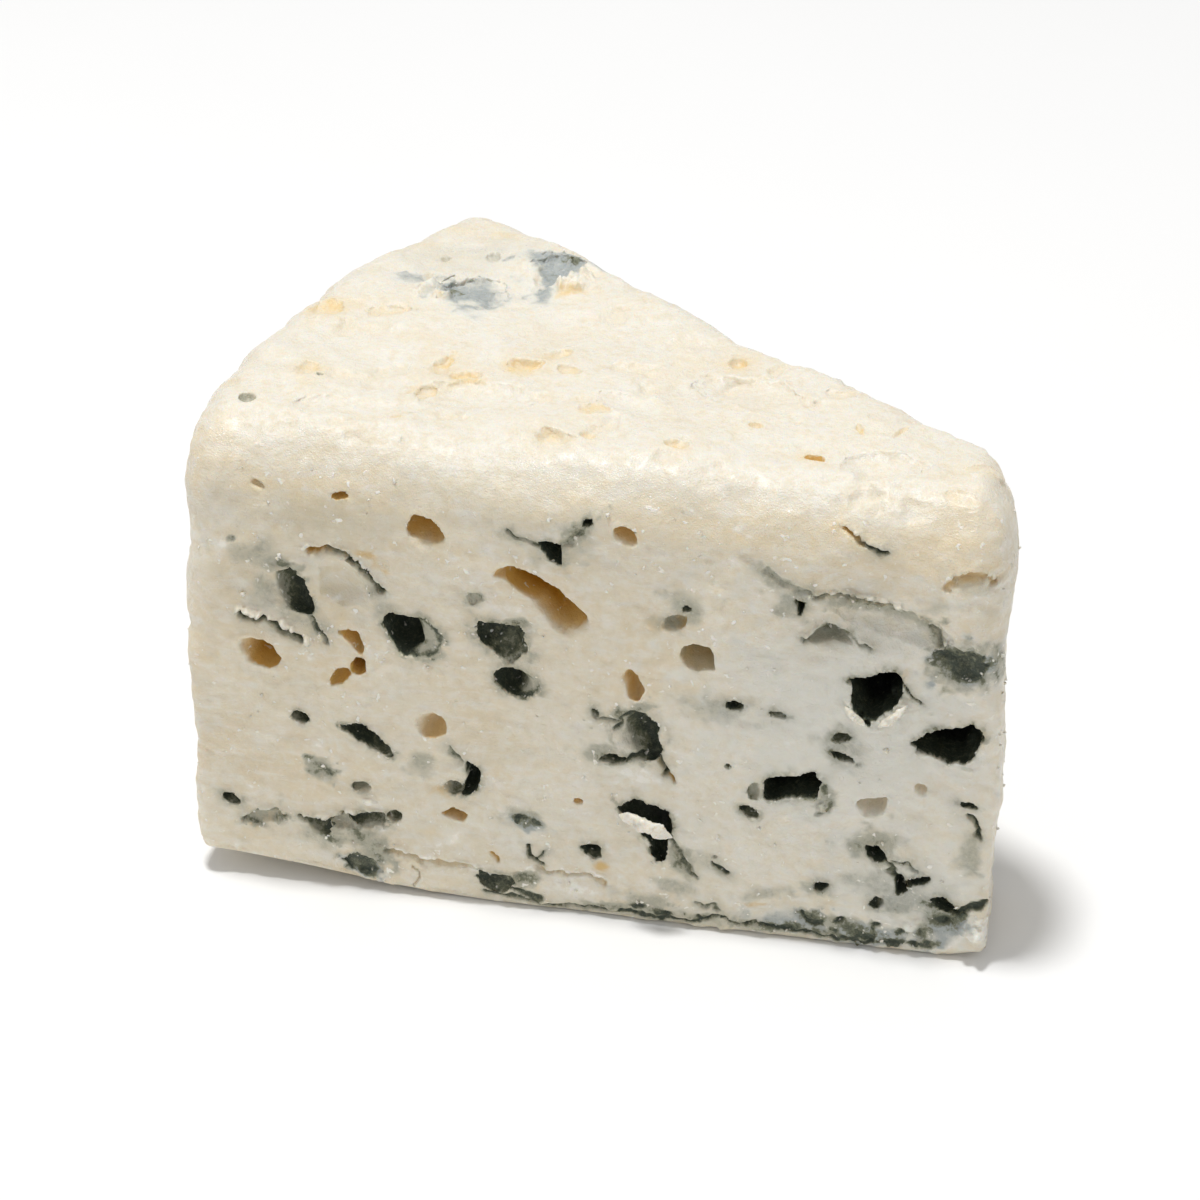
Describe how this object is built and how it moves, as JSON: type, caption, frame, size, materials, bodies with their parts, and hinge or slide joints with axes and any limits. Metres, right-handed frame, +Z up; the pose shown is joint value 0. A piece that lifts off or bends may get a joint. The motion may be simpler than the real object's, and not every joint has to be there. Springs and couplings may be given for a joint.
{
  "type": "roquefort wedge",
  "caption": "Wedge of blue-veined cheese with soft rounded top edges, a curved rind, a blunt nose and open eyes in both cut faces.",
  "frame": {"origin": "middle of the bounding box's footprint, on the flat underside", "axes": "+X from the rind to the blunt nose, -Y out of the front cut face, +Z up"},
  "size_m": [0.078, 0.0534, 0.0499],
  "materials": {
    "blue_veined_paste": "moist ivory paste with blue-green to black mould in its eyes"
  },
  "bodies": {
    "root": {"cheese_wedge": "blue_veined_paste"}
  },
  "joints": []
}
